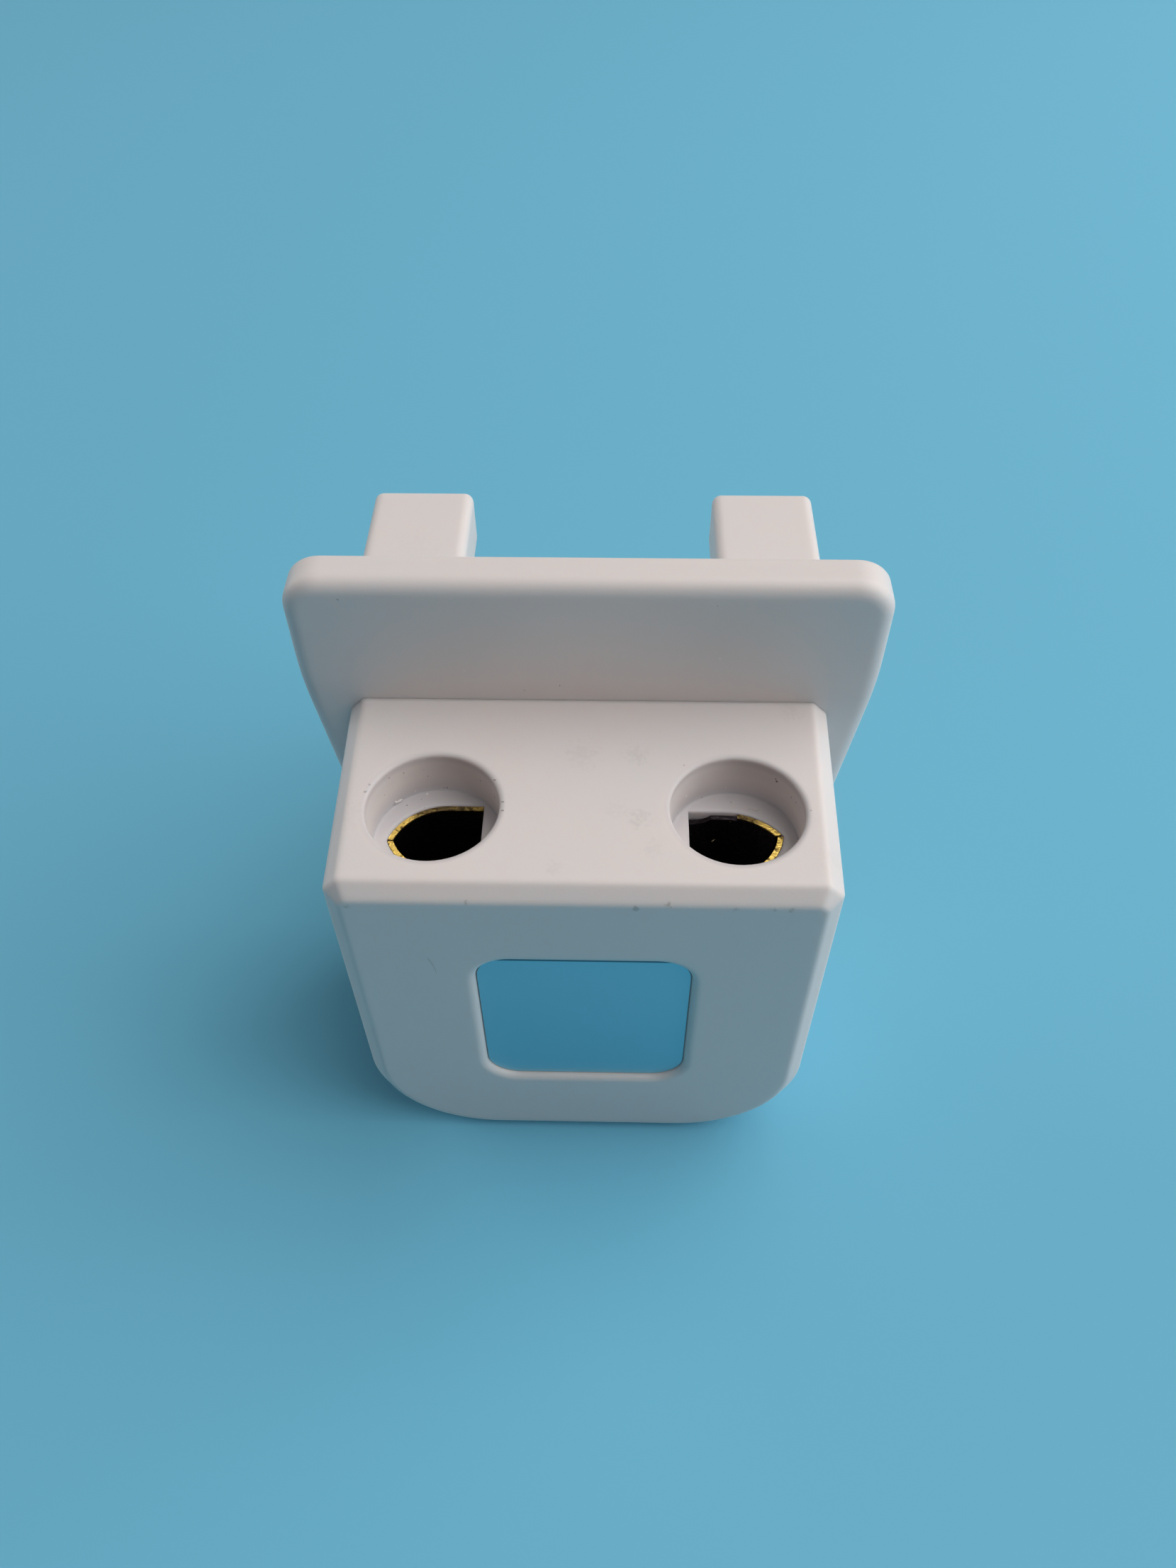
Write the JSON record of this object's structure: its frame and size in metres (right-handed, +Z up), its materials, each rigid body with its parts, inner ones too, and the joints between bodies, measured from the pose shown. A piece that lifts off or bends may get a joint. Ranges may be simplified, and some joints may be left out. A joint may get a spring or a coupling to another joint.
{
  "type": "earthing plug",
  "caption": "Plug adapter with round earth sockets in a small block, moulded dummy pins and a brass earth pin behind a wider plate.",
  "frame": {"origin": "on the resting face, at the middle of the overall width and depth", "axes": "+Z up, +X to the right as the front is seen, +Y out along the plug pins"},
  "size_m": [0.0342, 0.0396, 0.0367],
  "materials": {
    "housing_plastic": "fine matte white moulding",
    "plate_plastic": "fine matte white moulding",
    "pin_brass": "machined solid brass",
    "contact_brass": "stamped sheet with sheared edges",
    "rivet_brass": "upset rivet",
    "screw_steel": "plated steel",
    "label_foil": "satin bluish foil"
  },
  "bodies": {
    "root": {"front_housing": "housing_plastic", "base_plate": "plate_plastic", "earth_pin": "pin_brass", "left_contact": "contact_brass", "right_contact": "contact_brass", "earth_strap": "contact_brass", "contact_rivets": "rivet_brass", "housing_screw": "screw_steel", "front_label": "label_foil"}
  },
  "joints": []
}
